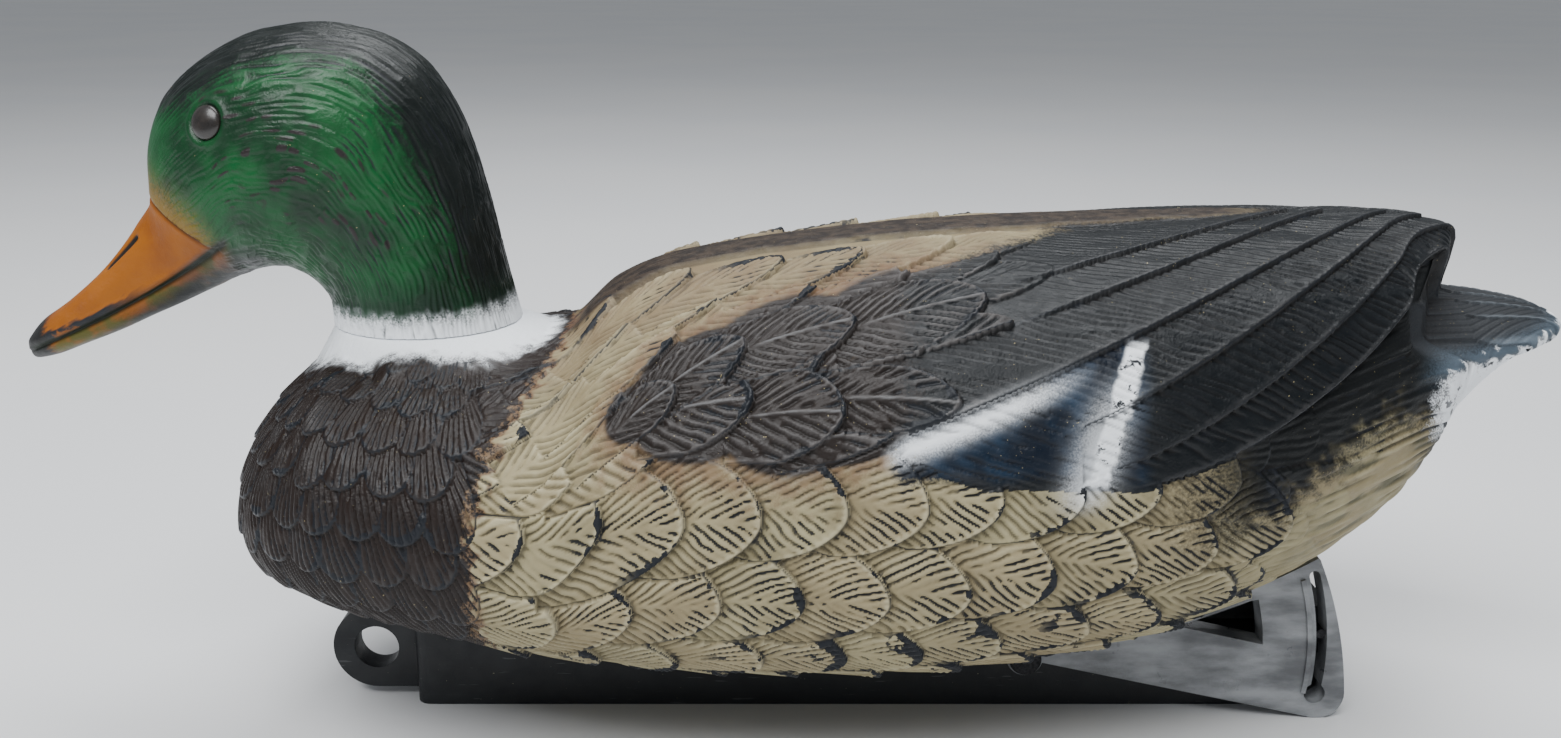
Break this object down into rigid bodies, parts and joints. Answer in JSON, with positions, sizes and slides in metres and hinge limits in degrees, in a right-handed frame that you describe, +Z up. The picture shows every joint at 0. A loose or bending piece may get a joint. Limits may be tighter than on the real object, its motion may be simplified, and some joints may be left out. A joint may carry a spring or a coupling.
{
  "type": "floating duck decoy",
  "caption": "Hollow floating drake mallard decoy with a turning head, a ballasted keel with a line eye and a swing-down keel fin.",
  "frame": {"origin": "centre of the bounding box's underside: on the ground, on the plane of symmetry", "axes": "+X towards the tail, +Y towards the duck's right side, +Z up"},
  "size_m": [0.41, 0.15, 0.1873],
  "materials": {
    "body_paint": "hand-painted feather pattern over black blow-moulded polyethylene, worn on the raised edges",
    "head_paint": "green, white and ochre paint over black blow-moulded polyethylene, with fine moulded striations",
    "eye_gloss": "polished dark brown dome",
    "keel_plastic": "black satin moulded plastic",
    "bushing_plastic": "natural acetal",
    "seal_rubber": "black nitrile",
    "insert_brass": "turned brass",
    "hardware_steel": "stainless steel",
    "ballast_iron": "raw cast slugs"
  },
  "bodies": {
    "hull": {"body_shell": "body_paint", "blow_hole_plug": "keel_plastic", "neck_bushing": "bushing_plastic", "threaded_inserts": "insert_brass", "keel_housing": "keel_plastic", "keel_cover": "keel_plastic", "ballast_slugs": "ballast_iron", "keel_screws": "hardware_steel", "fin_pivot_pin": "hardware_steel", "pivot_washers": "hardware_steel", "pivot_clip": "hardware_steel", "fin_guide_pin": "hardware_steel"},
    "head": {"head_shell": "head_paint", "left_eye": "eye_gloss", "right_eye": "eye_gloss", "neck_plug": "keel_plastic", "neck_seal": "seal_rubber", "snap_ring": "hardware_steel", "friction_washer": "seal_rubber"},
    "fin": {"keel_fin": "keel_plastic"}
  },
  "joints": [
    {"name": "head_turn", "type": "hinge", "parent": "hull", "child": "head", "pos_m": [-0.0972, 0, 0.11], "axis": [0, 0, 1], "range_deg": [-120, 120]},
    {"name": "fin_swing", "type": "hinge", "parent": "hull", "child": "fin", "pos_m": [0.064, 0, 0.018], "axis": [0, 1, 0], "range_deg": [0, 12]}
  ]
}
